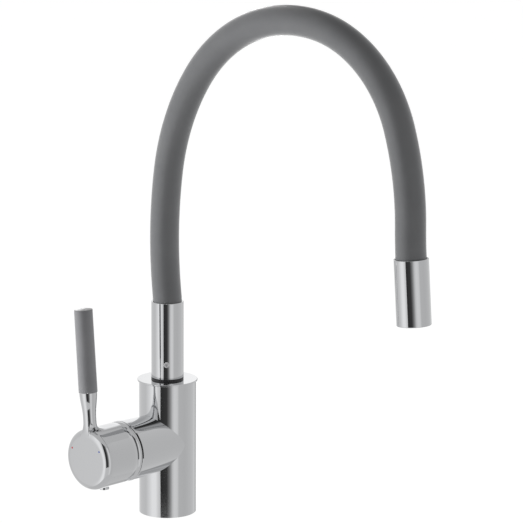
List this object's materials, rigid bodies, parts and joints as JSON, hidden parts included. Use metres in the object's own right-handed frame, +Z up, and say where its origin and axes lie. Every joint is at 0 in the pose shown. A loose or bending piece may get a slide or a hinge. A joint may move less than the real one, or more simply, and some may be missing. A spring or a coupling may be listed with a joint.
{
  "type": "single-lever kitchen mixer tap",
  "caption": "Kitchen mixer tap with a side lever and a tall bendable hose spout on a swivel tube, ending in a straight aerator nozzle.",
  "frame": {"origin": "centre of the base, on the worktop", "axes": "+Z up; the spout reaches towards +X; the valve, its cap and the lever point towards -Y"},
  "size_m": [0.309, 0.1205, 0.4415],
  "materials": {
    "chrome": "polished",
    "handle_chrome": "polished",
    "silicone_grey": "matt",
    "grip_grey": "matt",
    "brass": "machined",
    "rubber_black": "matt",
    "slide_plastic": "matt",
    "cartridge_plastic": "moulded",
    "acetal_white": "moulded",
    "ceramic": "lapped",
    "steel": "plain",
    "inner_hose_plastic": "plain",
    "red_mark": "gloss",
    "blue_mark": "gloss"
  },
  "bodies": {
    "tap": {"tap_body": "chrome", "valve_housing": "chrome", "top_ring": "chrome", "base_gasket": "rubber_black", "spout_spigot": "brass", "spigot_seals": "rubber_black", "slide_ring": "slide_plastic", "cartridge_shell": "cartridge_plastic", "cartridge_base": "cartridge_plastic", "cartridge_seals": "rubber_black", "fixed_disc": "ceramic", "retaining_nut": "brass", "dome_ring": "chrome"},
    "spout": {"swivel_socket": "acetal_white", "swivel_tube": "chrome", "tube_set_screw": "steel", "hose_lower_fitting": "brass", "silicone_hose": "silicone_grey", "gooseneck_core": "steel", "inner_hose": "inner_hose_plastic"},
    "outlet": {"hose_upper_fitting": "brass", "nozzle_shell": "chrome", "aerator_washer": "rubber_black", "aerator_cage": "chrome", "aerator_insert": "acetal_white", "aerator_screen": "acetal_white"},
    "mixing": {"stem_guide": "acetal_white", "pivot_pin": "steel"},
    "discs": {"moving_disc": "ceramic", "disc_carrier": "acetal_white"},
    "handle": {"cartridge_stem": "brass", "handle_cap": "handle_chrome", "grip_sleeve": "grip_grey", "hot_mark": "red_mark", "cold_mark": "blue_mark", "handle_grub_screw": "steel", "screw_plug": "chrome"}
  },
  "joints": [
    {"name": "spout_swivel", "type": "hinge", "parent": "tap", "child": "spout", "pos_m": [0, 0, 0.1165], "axis": [0, 0, 1], "continuous": true},
    {"name": "spout_flex", "type": "hinge", "parent": "spout", "child": "outlet", "pos_m": [0.118, 0, 0.349], "axis": [0, 1, 0], "range_deg": [-35, 20], "deforming": ["silicone_hose", "gooseneck_core", "inner_hose"]},
    {"name": "temperature_turn", "type": "hinge", "parent": "tap", "child": "mixing", "pos_m": [0, -0.03327, 0.06195], "axis": [0, 1, 0], "range_deg": [-40.7, 49.3]},
    {"name": "lever_lift", "type": "hinge", "parent": "mixing", "child": "handle", "pos_m": [0, -0.03327, 0.06195], "axis": [0.9972, 0, 0.075], "range_deg": [0, 22]},
    {"name": "disc_slide", "type": "slide", "parent": "mixing", "child": "discs", "axis": [-0.075, 0, 0.9972], "range_m": [0, 0.0026]}
  ],
  "couplings": [
    {"joint": "disc_slide", "follows": "lever_lift", "m_per_rad": 0.0065}
  ]
}
